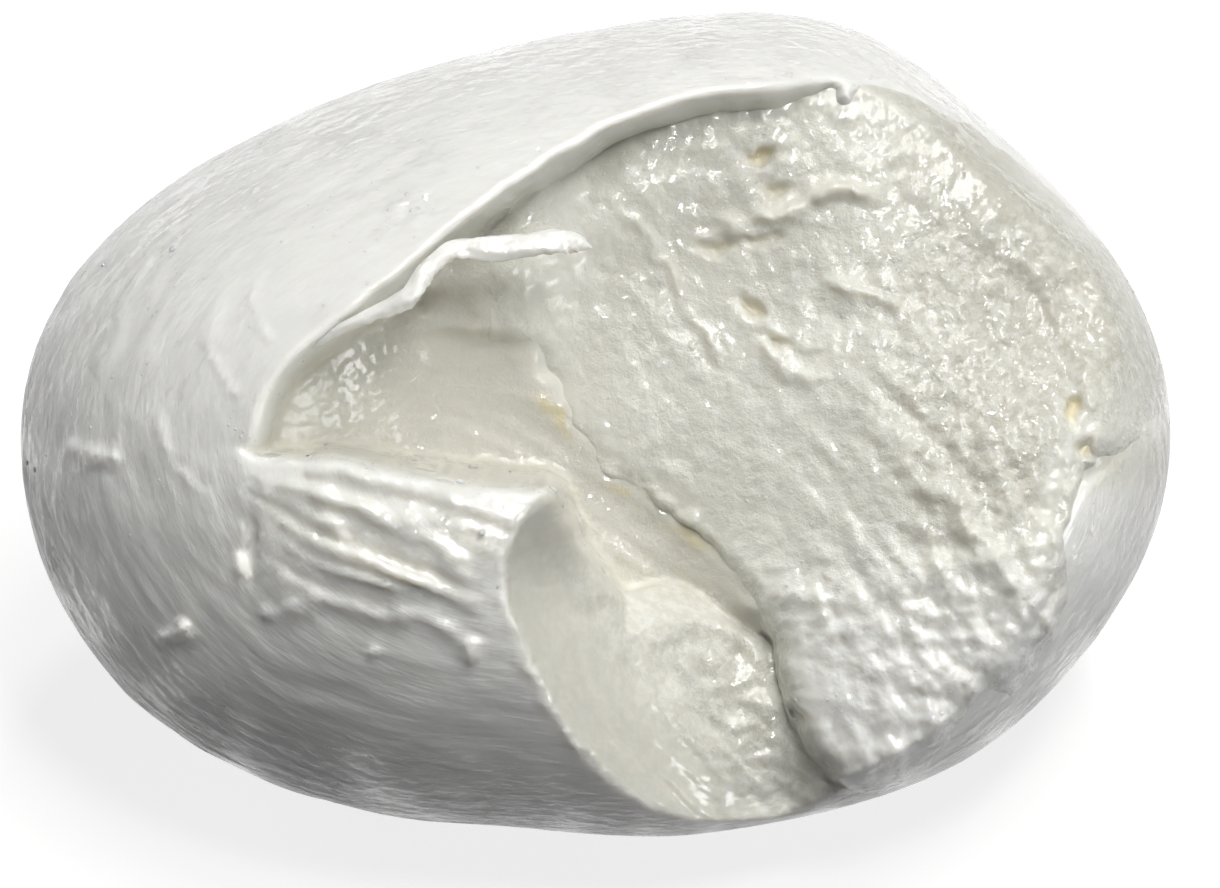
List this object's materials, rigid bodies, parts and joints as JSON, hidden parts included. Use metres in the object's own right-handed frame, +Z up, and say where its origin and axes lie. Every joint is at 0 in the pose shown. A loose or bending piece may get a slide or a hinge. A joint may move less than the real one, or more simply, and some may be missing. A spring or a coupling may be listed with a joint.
{
  "type": "mozzarella ball",
  "caption": "Fresh white cheese ball torn open by hand, with a hollow, a lip, a slab, stringy flesh and a curl of skin, resting on a flat spot.",
  "frame": {"origin": "middle of the bounding box's underside, on the flat spot that the ball rests on", "axes": "+X along the ball's length, +Z up, and the torn side faces -Y and up"},
  "size_m": [0.088, 0.0676, 0.0552],
  "materials": {
    "mozzarella_curd": "moist, faintly translucent milk-white curd, smooth skin outside and stringy flesh in the tear"
  },
  "bodies": {
    "root": {"mozzarella_ball": "mozzarella_curd"}
  },
  "joints": []
}
